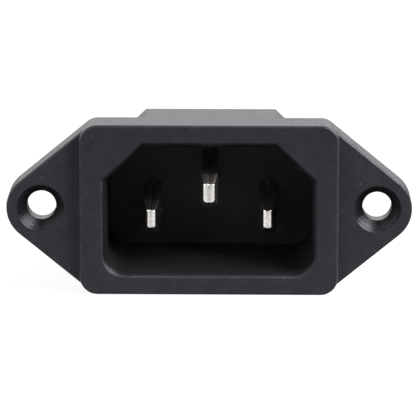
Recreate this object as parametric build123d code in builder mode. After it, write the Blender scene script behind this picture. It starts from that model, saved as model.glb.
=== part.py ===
from build123d import *
from math import cos, hypot, radians, sin, tan
import os

# Panel mount appliance inlet, all sizes in mm.
# X runs across the panel, Y goes into it and Z is up. The connector comes from the -Y side.
# The origin is on the rear face of the flange, midway between the screw holes.

# Flange and its screw ears
hole_from_rim = 4.65
hole_diameter = 3.5
countersink_diameter = 5.7
countersink_angle = 60.0
flange_thickness = 4.0
flange_corner_radius = 2.0
flange_edge_radius = 0.3
ear_radius = 4.1
ear_slope = 39.4

# Raised rim round the cavity
rim_side = 3.05
rim_top = 2.6
rim_proud = 1.2
rim_corner_radius = 2.1
rim_edge_radius = 0.3

# Keyed cavity that takes the connector
cavity_width = 24.6
cavity_height = 15.3
cavity_depth = 16.0
cavity_corner_radius = 2.3
key_across = 4.45
key_down = 4.2
lead_in = 0.55
lead_in_edge_radius = 0.1

# Body behind the panel
side_wall = 1.15
key_wall = 0.9
back_wall = 1.2
skirt_wall = 0.8
body_edge_radius = 0.4

# Retaining cover that closes the back
cover_thickness = 1.5
cover_floor = 0.7
cover_gap = 0.1
collar_wall = 0.7
collar_height = 0.9
collar_corner_radius = 0.6
snap_length = 5.0
snap_width = 0.6
snap_height = 0.35
snap_gap = 0.1

# Contact pins, each folded double from one strip
contact_spacing = 14.0
contact_drop = 2.0
contact_recess = 4.4
contact_tip_thickness = 1.0
earth_rise = 2.0
earth_recess = 0.7
earth_tip_thickness = 1.27
tip_width = 2.25
tip_bevel = 0.12
tip_bevel_length = 0.08
nose_length = 1.6
blade_width = 4.0
blade_thickness = 2.0
seam_gap = 0.04
seam_depth = 0.6
shoulder_overhang = 0.7
slot_gap = 0.05

# Quick connect tabs behind the cover
tab_width = 4.8
tab_thickness = 0.8
tab_length = 8.0
tab_corner = 0.8
tab_bevel = 0.2
tab_hole_diameter = 1.4
tab_hole_from_end = 3.2

# Rounding of a folded strip, as a share of one leaf's thickness
fold_rounding = 0.6
leaf_rounding = 0.3

# Sizes across the front that follow from the cavity's; the flange is as high as the rim
rim_width = cavity_width + 2 * rim_side
rim_height = cavity_height + 2 * rim_top
hole_pitch = rim_width + 2 * hole_from_rim

# Depths along Y that follow from the sizes above
rim_face = -flange_thickness - rim_proud
cavity_floor = rim_face + cavity_depth
cover_seat = cavity_floor + back_wall
body_end = cover_seat + cover_thickness
shoulder_end = body_end - cover_floor
tab_end = body_end + tab_length
snap_middle = (cover_seat + body_end) / 2

# Each pin's place on X and Z, with the recess and thickness of its tip
contact_tip = (contact_recess, contact_tip_thickness)
earth_tip = (earth_recess, earth_tip_thickness)
pins = {
    "line_pin": ((-contact_spacing / 2, -contact_drop), contact_tip),
    "neutral_pin": ((contact_spacing / 2, -contact_drop), contact_tip),
    "earth_pin": ((0, earth_rise), earth_tip),
}
pin_places = [place for place, tip in pins.values()]


def at_depth(depth):
    """Plane across the part at a depth along Y, seen from the front."""
    return Plane.XZ.offset(-depth)


def flange_outline():
    """Plate with a round ear about each screw hole and a straight slope from ear to top."""
    slope = radians(ear_slope)
    ear_x, top = hole_pitch / 2, rim_height / 2
    touch_x, touch_z = ear_x + ear_radius * sin(slope), ear_radius * cos(slope)
    corner_x = touch_x - (top - touch_z) / tan(slope)
    with BuildSketch(mode=Mode.PRIVATE) as outline:
        with BuildLine():
            for side in (-1, 1):
                Polyline((side * corner_x, -top), (side * touch_x, -touch_z))
                end = (side * (ear_x + ear_radius), 0)
                ThreePointArc((side * touch_x, -touch_z), end, (side * touch_x, touch_z))
                Polyline((side * touch_x, touch_z), (side * corner_x, top))
            Line((-corner_x, -top), (corner_x, -top))
            Line((-corner_x, top), (corner_x, top))
        make_face()
        corners = outline.vertices().group_by(Axis.Y)
        fillet(corners[0] + corners[-1], flange_corner_radius)
    return outline.sketch


def keyed_outline(grow, key_grow):
    """Cavity outline with its sides moved out by grow and its keyed corners by key_grow."""
    half_width, half_height = cavity_width / 2 + grow, cavity_height / 2 + grow
    slant = hypot(key_across, key_down)
    across, up = key_down / slant, key_across / slant
    reach = across * (cavity_width / 2 - key_across) + up * cavity_height / 2 + key_grow
    key_x = (reach - up * half_height) / across
    key_z = (reach - across * half_width) / up
    with BuildSketch(mode=Mode.PRIVATE) as outline:
        with BuildLine():
            Polyline(
                (-key_x, half_height),
                (key_x, half_height),
                (half_width, key_z),
                (half_width, -half_height),
                (-half_width, -half_height),
                (-half_width, key_z),
                close=True,
            )
        make_face()
        fillet(outline.vertices().group_by(Axis.Y)[0], cavity_corner_radius + grow)
    return outline.sketch


def folded_section(thickness, width):
    """Section of a strip folded double, with the fold below and the seam between its leaves above."""
    leaf = (thickness - seam_gap) / 2
    with BuildSketch(mode=Mode.PRIVATE) as section:
        Rectangle(thickness, width)
        fillet(section.vertices().group_by(Axis.Y)[0], fold_rounding * leaf)
        with Locations((0, width / 2)):
            Rectangle(seam_gap, 2 * seam_depth, mode=Mode.SUBTRACT)
        fillet(section.vertices().group_by(Axis.Y)[-1], leaf_rounding * leaf)
    return section.sketch


def front_of(part):
    """Face of a part that lies furthest to the front."""
    return part.faces().sort_by(Axis.Y)[0]


def back_of(part):
    """Face of a part that lies furthest to the back."""
    return part.faces().sort_by(Axis.Y)[-1]


os.makedirs("parts", exist_ok=True)

# Housing: flange, rim, keyed cavity and rear body in one moulding
with BuildPart() as housing:
    with BuildSketch(at_depth(0)):
        add(flange_outline())
    extrude(amount=flange_thickness)
    fillet(front_of(housing).edges(), flange_edge_radius)
    with BuildSketch(at_depth(0)):
        RectangleRounded(rim_width, rim_height, rim_corner_radius)
    extrude(amount=-rim_face)
    fillet(front_of(housing).edges(), rim_edge_radius)
    with BuildSketch(at_depth(0)):
        add(keyed_outline(side_wall, key_wall))
    extrude(amount=-body_end)
    fillet(back_of(housing).edges(), body_edge_radius)
    # cavity and its lead-in
    with BuildSketch(at_depth(cavity_floor)):
        add(keyed_outline(0, 0))
    extrude(amount=cavity_depth, mode=Mode.SUBTRACT)
    chamfer(front_of(housing).inner_wires()[0].edges(), lead_in)
    fillet(front_of(housing).inner_wires()[0].edges(), lead_in_edge_radius)
    # recess for the cover, with a window in each side for its snap
    with BuildSketch(at_depth(body_end)):
        add(keyed_outline(side_wall - skirt_wall, key_wall - skirt_wall))
    extrude(amount=cover_thickness, mode=Mode.SUBTRACT)
    with BuildSketch(Plane.YZ):
        with Locations((snap_middle, 0)):
            Rectangle(snap_width + 2 * snap_gap, snap_length + 2 * snap_gap)
    extrude(amount=cavity_width, both=True, mode=Mode.SUBTRACT)
    # slots for the blades
    with BuildSketch(at_depth(cover_seat)):
        with Locations(*pin_places):
            Rectangle(blade_thickness + 2 * slot_gap, blade_width + 2 * slot_gap)
    extrude(amount=back_wall, mode=Mode.SUBTRACT)
    # countersunk screw holes
    with Locations(at_depth(-flange_thickness)):
        with Locations((-hole_pitch / 2, 0), (hole_pitch / 2, 0)):
            CounterSinkHole(
                hole_diameter / 2,
                countersink_diameter / 2,
                depth=flange_thickness,
                counter_sink_angle=countersink_angle,
            )

# Rear cover: keyed plate with a collar round each tab and a snap on each side
with BuildPart() as rear_cover:
    cover_grow = side_wall - skirt_wall - cover_gap
    with BuildSketch(at_depth(body_end)):
        add(keyed_outline(cover_grow, key_wall - skirt_wall - cover_gap))
    extrude(amount=cover_thickness)
    collar_grow = 2 * (slot_gap + collar_wall)
    with BuildSketch(at_depth(body_end + collar_height)):
        with Locations(*pin_places):
            RectangleRounded(tab_thickness + collar_grow, tab_width + collar_grow, collar_corner_radius)
    extrude(amount=collar_height)
    # pockets for the shoulders, and slots for the tabs
    with BuildSketch(at_depth(shoulder_end)):
        with Locations(*pin_places):
            shoulder_width = blade_width + 2 * shoulder_overhang
            Rectangle(blade_thickness + 2 * slot_gap, shoulder_width + 2 * slot_gap)
    extrude(amount=shoulder_end - cover_seat, mode=Mode.SUBTRACT)
    with BuildSketch(at_depth(body_end + collar_height)):
        with Locations(*pin_places):
            Rectangle(tab_thickness + 2 * slot_gap, tab_width + 2 * slot_gap)
    extrude(amount=cover_thickness + collar_height, mode=Mode.SUBTRACT)
    # snaps with a ramp towards the front
    snap_root = cavity_width / 2 + cover_grow
    with BuildSketch(Plane.XY):
        with BuildLine():
            Polyline(
                (snap_root, snap_middle - snap_width / 2),
                (snap_root + snap_height, snap_middle),
                (snap_root + snap_height, snap_middle + snap_width / 2),
                (snap_root, snap_middle + snap_width / 2),
                close=True,
            )
        make_face()
        mirror(about=Plane.YZ)
    extrude(amount=snap_length / 2, both=True)


def contact_pin(place, tip):
    """Folded blade with a tapered nose, a shoulder behind the wall and a flat tab."""
    x, z = place
    recess, tip_thickness = tip
    tip_face = rim_face + recess
    nose_end = tip_face + nose_length
    nose_sections = [
        (tip_face, tip_thickness - 2 * tip_bevel, tip_width - 2 * tip_bevel),
        (tip_face + tip_bevel_length, tip_thickness, tip_width),
        (nose_end, blade_thickness, blade_width),
    ]
    with BuildPart() as pin:
        # bevelled tip, nose and blade
        for depth, thickness, width in nose_sections:
            with BuildSketch(at_depth(depth)):
                with Locations(place):
                    add(folded_section(thickness, width))
        loft(ruled=True)
        extrude(back_of(pin), amount=cover_seat - nose_end)
        # shoulder
        with BuildSketch(at_depth(cover_seat)):
            with Locations(place):
                Rectangle(blade_thickness, blade_width + 2 * shoulder_overhang)
        extrude(amount=cover_seat - shoulder_end)
        # tab
        with BuildSketch(Plane.YZ.offset(x)) as tab:
            with Locations((cover_seat, z)):
                Rectangle(tab_end - cover_seat, tab_width, align=(Align.MIN, Align.CENTER))
            chamfer(tab.vertices().group_by(Axis.X)[-1], tab_corner)
            with Locations((tab_end - tab_hole_from_end, z)):
                Circle(tab_hole_diameter / 2, mode=Mode.SUBTRACT)
        extrude(amount=tab_thickness / 2, both=True)
        chamfer(back_of(pin).edges().filter_by(Axis.Z), tab_bevel)
    return pin.part


housing.part.label = "housing"
export_step(housing.part, "parts/housing.step")

rear_cover.part.label = "rear_cover"
export_step(rear_cover.part, "parts/rear_cover.step")

for name, (place, tip) in pins.items():
    pin_part = contact_pin(place, tip)
    pin_part.label = name
    export_step(pin_part, f"parts/{name}.step")
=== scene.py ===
import math

import bpy
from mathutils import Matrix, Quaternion, Vector


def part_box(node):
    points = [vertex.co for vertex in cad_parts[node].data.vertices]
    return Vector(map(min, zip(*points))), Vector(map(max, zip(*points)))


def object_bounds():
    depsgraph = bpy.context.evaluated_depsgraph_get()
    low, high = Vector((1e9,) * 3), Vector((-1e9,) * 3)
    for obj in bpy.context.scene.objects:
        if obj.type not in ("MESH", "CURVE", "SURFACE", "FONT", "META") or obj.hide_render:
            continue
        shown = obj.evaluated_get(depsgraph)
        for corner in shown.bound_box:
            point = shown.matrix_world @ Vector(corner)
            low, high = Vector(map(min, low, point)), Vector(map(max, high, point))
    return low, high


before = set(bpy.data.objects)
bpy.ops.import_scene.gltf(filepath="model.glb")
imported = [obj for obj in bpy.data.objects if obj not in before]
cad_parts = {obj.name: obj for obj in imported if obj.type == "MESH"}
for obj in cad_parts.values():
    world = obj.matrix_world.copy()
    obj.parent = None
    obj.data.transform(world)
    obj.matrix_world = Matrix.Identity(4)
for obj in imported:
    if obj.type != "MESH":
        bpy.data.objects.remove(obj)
cad_low, cad_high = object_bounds()

# Housing.
# One black glass filled nylon moulding: flange, countersunk ears, raised rim, keyed cavity and rear body.
# The mould leaves the faces finely grained and the screw seats ringed by the cutter that made their core.
# Painted shade darkens the cavity and the screw seats.
# Connectors and handling leave nicks and wear on the cavity's lead-in and the rim's outer edge, and the
# rim's outer edges also carry a painted highlight.

MM = 0.001
FLANGE_FRONT = -4.0 * MM
HOLE_FROM_CENTRE = 20.0 * MM
HOLE_RADIUS = 1.75 * MM
SEAT_RADIUS = 2.85 * MM
SEAT_DEPTH = 1.9 * MM
RIM_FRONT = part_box("housing")[0].y
RIM_SIDE = 15.35 * MM
CAVITY_SIDE = 12.3 * MM
CAVITY_TOP = 7.65 * MM
CAVITY_FLOOR = 10.8 * MM
KEY_WIDTH = 4.45 * MM
KEY_HEIGHT = 4.2 * MM
LEAD_IN = 0.6 * MM
LEAD_IN_ROUNDING = 0.4
SEAT_TILT = 1.1
RING_PITCH = 0.2 * MM
RING_HEIGHT = 2.0
NICK_SIZE = 0.28 * MM
LEAD_IN_NICKS = 2.5
FLANGE_NICKS = 0.8
MOTTLE_SIZE = 1.6 * MM
SPECK_SPACING = 1.7 * MM
EDGE_WEAR_AND_HIGHLIGHT = 0.32 * MM
GRAIN_SIZE = 0.17 * MM
GRAIN_DEPTH = 0.05 * MM
GRAIN_STRENGTH = 0.6
NYLON_BLACK = (0.0155, 0.0148, 0.0178, 1)
NYLON_WORN_AND_HIGHLIGHT = (0.026, 0.025, 0.031, 1)
NYLON_PAINTED_SHADE = (0.0055, 0.0052, 0.0062, 1)
NYLON_NICKED_AND_HIGHLIGHT = (0.12, 0.118, 0.125, 1)
NYLON_GLOSS = (0.92, 0.9, 1, 1)
NYLON_INDEX = 1.3
NYLON_ROUGHNESS = 0.24


class Wire:
    """A socket in a material, on which arithmetic adds Math nodes."""

    def __init__(self, tree, socket=None):
        self.tree = tree
        self.socket = socket

    def node(self, kind, settings=None, inputs=None, output=0):
        """Adds a node with its settings, then its values and links, and returns one output."""
        made = self.tree.nodes.new(kind)
        for name, value in (settings or {}).items():
            setattr(made, name, value)
        for name, value in (inputs or {}).items():
            if isinstance(value, Wire):
                self.tree.links.new(value.socket, made.inputs[name])
            else:
                made.inputs[name].default_value = value
        return Wire(self.tree, made.outputs[output]) if len(made.outputs) else None

    def math(self, operation, first, second=0.0):
        """One Math node on values or numbers."""
        return self.node("ShaderNodeMath", {"operation": operation}, {0: first, 1: second})

    def __add__(self, other):
        return self.math("ADD", self, other)

    __radd__ = __add__

    def __sub__(self, other):
        return self.math("SUBTRACT", self, other)

    def __rsub__(self, other):
        return self.math("SUBTRACT", other, self)

    def __mul__(self, other):
        return self.math("MULTIPLY", self, other)

    __rmul__ = __mul__


def new_material(name):
    """An empty material, its Object coordinates, and the wire that adds its nodes."""
    material = bpy.data.materials.new(name)
    material.use_nodes = True
    material.node_tree.nodes.clear()
    wire = Wire(material.node_tree)
    return material, wire, wire.node("ShaderNodeTexCoord", output="Object")


def finish_material(wire, surface):
    """Joins a surface shader to the material's output."""
    wire.node("ShaderNodeOutputMaterial", inputs={"Surface": surface})


def noise(wire, place, size, detail=2.0, roughness=0.5):
    """Noise whose blobs are about as large as size, in metres."""
    inputs = {"Vector": place, "Scale": 1 / size, "Detail": detail, "Roughness": roughness}
    return wire.node("ShaderNodeTexNoise", inputs=inputs)


def step(wire, value, low, high):
    """Rises smoothly from 0 at low to 1 at high."""
    settings = {"interpolation_type": "SMOOTHSTEP"}
    inputs = {"Value": value, "From Min": low, "From Max": high}
    return wire.node("ShaderNodeMapRange", settings, inputs)


def mix_colour(wire, share, first, second):
    """Blends two colours."""
    made = wire.tree.nodes.new("ShaderNodeMix")
    made.data_type = "RGBA"
    for name, value in (("Factor", share), ("A", first), ("B", second)):
        socket = next(s for s in made.inputs if s.name == name and s.enabled)
        if isinstance(value, Wire):
            wire.tree.links.new(value.socket, socket)
        else:
            socket.default_value = value
    return Wire(wire.tree, next(s for s in made.outputs if s.enabled))


def axes_of(wire, place):
    """The X, Y and Z of a place, as three values."""
    split = wire.node("ShaderNodeSeparateXYZ", inputs={"Vector": place}).socket.node
    return [Wire(wire.tree, split.outputs[axis]) for axis in "XYZ"]


def nylon_surface(wire, place, colour, roughness, grain_size, grain_depth, relief=0.0):
    """Black nylon with the fine grain of a spark eroded mould. Relief is in units of the grain's depth."""
    grain = noise(wire, place, grain_size, detail=3.0)
    bump = wire.node(
        "ShaderNodeBump",
        inputs={"Strength": GRAIN_STRENGTH, "Distance": grain_depth, "Height": grain + relief},
    )
    inputs = {
        "Base Color": colour,
        "Roughness": roughness,
        "IOR": NYLON_INDEX,
        "Specular Tint": NYLON_GLOSS,
        "Normal": bump,
    }
    return wire.node("ShaderNodeBsdfPrincipled", inputs=inputs)


def housing_nylon():
    """Satin faces, painted shade in the ringed seats and the dull cavity, nicks on the lead-in and rim
    edges, a painted highlight on the rim edges.
    """
    material, wire, place = new_material("housing_nylon")
    x, y, z = axes_of(wire, place)
    side, rise = wire.math("ABSOLUTE", x), wire.math("ABSOLUTE", z)
    nicks = noise(wire, place, NICK_SIZE, detail=4.0, roughness=0.7)
    mottle = step(wire, noise(wire, place, MOTTLE_SIZE, detail=5.0, roughness=0.6), 0.35, 0.75) * 0.5
    cell = wire.node("ShaderNodeTexVoronoi", inputs={"Vector": place, "Scale": 1 / SPECK_SPACING})
    speck = 1 - step(wire, cell, 0.025, 0.05)

    # the ears, with their screw seats and holes
    on_ear = step(wire, side, RIM_SIDE, RIM_SIDE * 1.01)
    from_hole = side - HOLE_FROM_CENTRE
    radius = wire.math("SQRT", from_hole * from_hole + z * z)
    behind_flange = step(wire, y, FLANGE_FRONT, FLANGE_FRONT * 0.99)
    before_bore = 1 - step(wire, y, FLANGE_FRONT + SEAT_DEPTH * 1.1, FLANGE_FRONT + SEAT_DEPTH * 1.2)
    in_seat = (1 - step(wire, radius, SEAT_RADIUS, SEAT_RADIUS * 1.02)) * behind_flange * before_bore
    in_hole = (1 - step(wire, radius, HOLE_RADIUS * 1.01, HOLE_RADIUS * 1.04)) * behind_flange

    # the rim's outer edge, with wear and a painted highlight, and the keyed cavity with its lead-in
    behind_rim = step(wire, y, RIM_FRONT + 0.02 * MM, RIM_FRONT + 0.1 * MM)
    within_sides = 1 - step(wire, side, CAVITY_SIDE + LEAD_IN, CAVITY_SIDE + LEAD_IN * 1.15)
    within_height = 1 - step(wire, rise, CAVITY_TOP + LEAD_IN, CAVITY_TOP + LEAD_IN * 1.15)
    key_line = CAVITY_SIDE / KEY_WIDTH + CAVITY_TOP / KEY_HEIGHT - 1
    past_key = side * (1 / KEY_WIDTH) + z * (1 / KEY_HEIGHT) - key_line
    within_key = 1 - step(wire, past_key, 0.2, 0.25)
    mouth = within_sides * within_height * within_key
    deep = step(wire, y, RIM_FRONT + LEAD_IN * 0.15, RIM_FRONT + LEAD_IN * 0.5)
    inner = step(wire, y, FLANGE_FRONT, CAVITY_FLOOR)
    in_cavity = mouth * deep
    on_floor = mouth * step(wire, y, CAVITY_FLOOR - 0.2 * MM, CAVITY_FLOOR - 0.1 * MM)
    on_lead_in = mouth * behind_rim * (1 - deep)
    past_lead_in = step(wire, y, RIM_FRONT + LEAD_IN * 0.9, RIM_FRONT + LEAD_IN * 1.2)
    near_side = step(wire, side, RIM_SIDE - EDGE_WEAR_AND_HIGHLIGHT, RIM_SIDE - EDGE_WEAR_AND_HIGHLIGHT * 0.375)
    near_front = 1 - step(wire, y, RIM_FRONT + 0.2 * MM, RIM_FRONT + 0.45 * MM)
    # the rim's outer side edges: wear and nicks, and a painted highlight along their rounding
    rim_edge_wear_and_highlight = near_side * near_front

    # colour: painted shade darkens the cavity, most at its mouth, and the screw seats; paler with wear,
    # nicks and dust specks, and a painted highlight on the rim's outer edges
    # painted shade: darkest in the cavity's mouth and inner lead-in, less towards the back wall, and nearly
    # as dark in the screw seats
    painted_shade = wire.math("MAXIMUM", in_cavity * (1 - 0.65 * inner), in_seat * 0.9)
    colour = mix_colour(wire, painted_shade, NYLON_BLACK, NYLON_PAINTED_SHADE)
    fine = step(wire, nicks, 0.35, 0.65) * (0.35 + 0.3 * on_ear)
    # paler wear from the mottle and the nicks, plus a painted highlight along the rim's outer edges
    wear_and_highlight = wire.math("MAXIMUM", mottle + fine, rim_edge_wear_and_highlight * 0.9)
    colour = mix_colour(wire, wear_and_highlight * (1 - painted_shade), colour, NYLON_WORN_AND_HIGHLIGHT)
    # pale nicks on the lead-in, and on the rim's outer edges, where they also paint a highlight
    nicks_and_highlight = on_lead_in * 0.6 + rim_edge_wear_and_highlight * 0.9
    colour = mix_colour(wire, nicks_and_highlight * step(wire, nicks, 0.56, 0.72), colour, NYLON_NICKED_AND_HIGHLIGHT)
    colour = mix_colour(wire, speck * (1 - in_cavity), colour, NYLON_NICKED_AND_HIGHLIGHT)

    # finish: glossier in the holes, duller in the cavity
    roughness = NYLON_ROUGHNESS + 0.05 * nicks + 0.2 * on_lead_in - 0.12 * in_hole
    roughness = roughness + in_cavity * (0.12 + 0.23 * past_lead_in) - 0.15 * on_floor

    # relief: turned rings on the sloping seats, a rounded lead-in, and the nicks
    rings = wire.node(
        "ShaderNodeTexNoise",
        {"noise_dimensions": "1D"},
        {"W": radius, "Scale": 1 / RING_PITCH, "Detail": 2.0},
    )
    slope = (SEAT_RADIUS - radius) * (SEAT_TILT / GRAIN_DEPTH)
    into_mouth = wire.math("MINIMUM", y - RIM_FRONT, LEAD_IN)
    rounding = into_mouth * into_mouth * (LEAD_IN_ROUNDING / (LEAD_IN * GRAIN_DEPTH))
    relief = in_seat * (slope + RING_HEIGHT * rings - RING_HEIGHT / 2) - mouth * rounding
    relief = relief - nicks * (LEAD_IN_NICKS * on_lead_in + FLANGE_NICKS * on_ear)
    surface = nylon_surface(wire, place, colour, roughness, GRAIN_SIZE, GRAIN_DEPTH, relief)
    finish_material(wire, surface)
    return material


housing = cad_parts["housing"]
housing.data.materials.clear()
housing.data.materials.append(housing_nylon())

# Rear cover.
# A keyed nylon plate that snaps into the back of the body and traps the shoulders of the pins.
# It is moulded apart from the housing, with a plainer and slightly duller finish.

COVER_BLACK = (0.021, 0.0202, 0.0235, 1)
COVER_FLOW = (0.027, 0.026, 0.03, 1)
COVER_ROUGHNESS = 0.34
COVER_GRAIN_SIZE = 0.18 * MM
COVER_GRAIN_DEPTH = 0.03 * MM
FLOW_SIZE = 2.5 * MM

rear_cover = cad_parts["rear_cover"]
material, wire, place = new_material("cover_nylon")
flow = noise(wire, place, FLOW_SIZE)
colour = mix_colour(wire, step(wire, flow, 0.4, 0.75), COVER_BLACK, COVER_FLOW)
roughness = COVER_ROUGHNESS + 0.08 * flow
surface = nylon_surface(wire, place, colour, roughness, COVER_GRAIN_SIZE, COVER_GRAIN_DEPTH)
finish_material(wire, surface)
rear_cover.data.materials.clear()
rear_cover.data.materials.append(material)

# Contact pins.
# Three strips of brass, each folded double into a blade with a tapered nose, then nickel plated.
# The tips carry a painted highlight, broken by pits and fading into painted shade along the fold's seam,
# and a tint of bare brass shows at the sheared ends of the tabs.

NICKEL = (0.62, 0.59, 0.55, 1)
NICKEL_DULL = (0.52, 0.49, 0.45, 1)
NICKEL_TIP_HIGHLIGHT = (0.97, 0.95, 0.92, 1)
BRASS = (0.5, 0.36, 0.2, 1)
TIP_BEVEL = 0.08 * MM
DRAW_LINE_WIDTH = 0.05 * MM
DRAW_LINE_DEPTH = 0.01 * MM
DRAW_LINE_SCALE = (1, 0.05, 0.12)
DULL_PATCH_SIZE = 0.5 * MM
PIT_SIZE = 0.22 * MM
PLATE_ROUGHNESS = 0.26


def plated_contact(name, centre_x, tip_y, end_y):
    """Bright nickel plate with draw lines along the strip, a pitted tip with a painted highlight and
    painted shade along its seam, and a brass sheared end.
    """
    material, wire, place = new_material(name)
    x, y = axes_of(wire, place)[:2]
    stretched = wire.node("ShaderNodeMapping", inputs={"Vector": place, "Scale": DRAW_LINE_SCALE})
    lines = noise(wire, stretched, DRAW_LINE_WIDTH, detail=3.0)
    patches = noise(wire, place, DULL_PATCH_SIZE, detail=3.0)
    pits = noise(wire, place, PIT_SIZE, detail=4.0, roughness=0.7)
    on_tip = 1 - step(wire, y, tip_y + TIP_BEVEL, tip_y + TIP_BEVEL * 2)
    seam_shade_and_edge_highlight = step(wire, wire.math("ABSOLUTE", x - centre_x), 0.05 * MM, 0.45 * MM)
    on_end = step(wire, y, end_y - TIP_BEVEL, end_y - TIP_BEVEL * 0.5)
    colour = mix_colour(wire, step(wire, patches, 0.4, 0.75), NICKEL, NICKEL_DULL)
    # the tip: a painted highlight, broken by pits, with painted shade along the fold's seam
    tip_highlight_and_pits = mix_colour(wire, step(wire, pits + 0.25 * seam_shade_and_edge_highlight, 0.35, 0.75), NICKEL, NICKEL_TIP_HIGHLIGHT)
    colour = mix_colour(wire, on_tip, colour, tip_highlight_and_pits)
    colour = mix_colour(wire, on_end * 0.8, colour, BRASS)
    bump = wire.node(
        "ShaderNodeBump",
        inputs={"Strength": 0.25, "Distance": DRAW_LINE_DEPTH, "Height": lines},
    )
    roughness = PLATE_ROUGHNESS + 0.08 * patches - 0.06 * on_tip
    inputs = {"Base Color": colour, "Metallic": 1.0, "Roughness": roughness, "Normal": bump}
    finish_material(wire, wire.node("ShaderNodeBsdfPrincipled", inputs=inputs))
    return material


for name in ("line_pin", "neutral_pin", "earth_pin"):
    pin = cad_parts[name]
    low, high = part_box(name)
    pin.data.materials.clear()
    pin.data.materials.append(plated_contact(name + "_plate", (low.x + high.x) / 2, low.y, high.y))

# Floor and light.
# The part stands on a white sheet in a dim room with a white backdrop, as in a small product studio.
# A soft key lamp stands high on the right and a wide fill on the left, with weak lamps round the rest.
# The sheet looks white to the camera, gives little light back, and is mirrored only near the part's front.

FLOOR_SIZE = 4.0
FLOOR_WHITE = (0.8, 0.8, 0.8, 1)
FLOOR_BOUNCE = (0.08, 0.08, 0.08, 1)
FLOOR_GLOW_SEEN = 0.9
FLOOR_GLOW_MIRRORED = 0.88
PURE_WHITE = (1, 1, 1, 1)
CARD_FRONT = -60 * MM
CARD_FADE = 40 * MM
CARD_BACK = 5 * MM
ROOM_LIGHT = 0.15
ROOM_GLOSS = 0.15


def ray_kinds(wire):
    """Two masks: what the camera sees straight, and what gloss or glass shows."""
    seen = wire.node("ShaderNodeLightPath", output="Is Camera Ray")
    kinds = seen.socket.node.outputs
    glossy = Wire(wire.tree, kinds["Is Glossy Ray"])
    through = Wire(wire.tree, kinds["Is Transmission Ray"])
    return seen, wire.math("MAXIMUM", glossy, through)


bpy.ops.object.select_all(action="DESELECT")
bpy.ops.mesh.primitive_plane_add(size=FLOOR_SIZE, location=(0, 0, cad_low.z))
floor = bpy.context.object
floor.name = "floor"
material, wire, place = new_material("white_sheet")
seen, mirrored = ray_kinds(wire)
tone = mix_colour(wire, seen, FLOOR_BOUNCE, FLOOR_WHITE)
sheet = wire.node("ShaderNodeBsdfDiffuse", inputs={"Color": tone})
glow = wire.node("ShaderNodeEmission", inputs={"Color": PURE_WHITE, "Strength": 1.0})
y = axes_of(wire, place)[1]
on_card = step(wire, y, CARD_FRONT - CARD_FADE, CARD_FRONT) * (1 - step(wire, y, CARD_BACK, CARD_BACK * 2))
share = seen * FLOOR_GLOW_SEEN + mirrored * FLOOR_GLOW_MIRRORED * on_card
finish_material(wire, wire.node("ShaderNodeMixShader", inputs={0: share, 1: sheet, 2: glow}))
floor.data.materials.append(material)

world = bpy.data.worlds.new("studio")
bpy.context.scene.world = world
world.use_nodes = True
world.node_tree.nodes.clear()
wire = Wire(world.node_tree)
seen, mirrored = ray_kinds(wire)
backwards = axes_of(wire, wire.node("ShaderNodeTexCoord"))[1]
backdrop = step(wire, backwards, 0.5, 0.9)
strength = ROOM_LIGHT * (1 - mirrored) + mirrored * (ROOM_GLOSS + (1 - ROOM_GLOSS) * backdrop)
strength = wire.math("MAXIMUM", strength, seen)
room = wire.node("ShaderNodeBackground", inputs={"Color": PURE_WHITE, "Strength": strength})
wire.node("ShaderNodeOutputWorld", inputs={"Surface": room})


def softbox(name, direction, distance, width, height, power):
    """A flat lamp of a width and height in metres, that faces the part from one direction."""
    lamp = bpy.data.lights.new(name, "AREA")
    lamp.shape = "RECTANGLE"
    lamp.size = width
    lamp.size_y = height
    lamp.energy = power
    made = bpy.data.objects.new(name, lamp)
    bpy.context.scene.collection.objects.link(made)
    away = Vector(direction).normalized()
    made.location = away * distance
    made.rotation_mode = "QUATERNION"
    made.rotation_quaternion = away.to_track_quat("Z", "Y")


softbox("key_right", (0.68, -0.32, 0.66), 0.6, 0.4, 0.42, 9.5)
softbox("fill_left", (-0.88, -0.25, 0.4), 0.6, 1.2, 1.2, 9.5)
softbox("back", (0.0, 0.95, 0.3), 0.6, 0.8, 0.4, 0.17)
softbox("back_left", (-0.75, 0.55, 0.45), 0.7, 0.8, 0.8, 2.5)
softbox("front", (0.0, -1.0, 0.3), 0.8, 0.6, 0.5, 0.35)
softbox("top", (0.0, 0.0, 1.0), 0.6, 0.3, 0.3, 0.8)
softbox("side_right", (0.8, 0.38, 0.46), 0.6, 0.7, 0.7, 3.2)

# Camera.
# The photo's view: from the front, about 12 degrees above and a touch to the right, through a long lens.

TARGET = Vector((-0.12, -4.0, 0.1)) * MM
VIEW_ELEVATION = math.radians(12.5)
VIEW_AZIMUTH = math.radians(-0.73)
VIEW_ROLL = math.radians(0.088)
VIEW_DISTANCE = 394 * MM
SENSOR_WIDTH = 36.0
PICTURE_WIDTH = 416
PIXELS_PER_MM = 8.428
NEAREST_SHOWN = 0.01

forward = Vector(
    (
        math.sin(VIEW_AZIMUTH) * math.cos(VIEW_ELEVATION),
        math.cos(VIEW_AZIMUTH) * math.cos(VIEW_ELEVATION),
        -math.sin(VIEW_ELEVATION),
    )
)
camera_data = bpy.data.cameras.new("camera")
camera_data.sensor_width = SENSOR_WIDTH
camera_data.lens = PIXELS_PER_MM / MM * VIEW_DISTANCE * SENSOR_WIDTH / PICTURE_WIDTH
camera_data.clip_start = NEAREST_SHOWN
camera = bpy.data.objects.new("camera", camera_data)
bpy.context.scene.collection.objects.link(camera)
camera.location = TARGET - forward * VIEW_DISTANCE
camera.rotation_mode = "QUATERNION"
camera.rotation_quaternion = forward.to_track_quat("-Z", "Y") @ Quaternion((0, 0, 1), VIEW_ROLL)
bpy.context.scene.camera = camera
bpy.context.scene.view_settings.view_transform = "Standard"
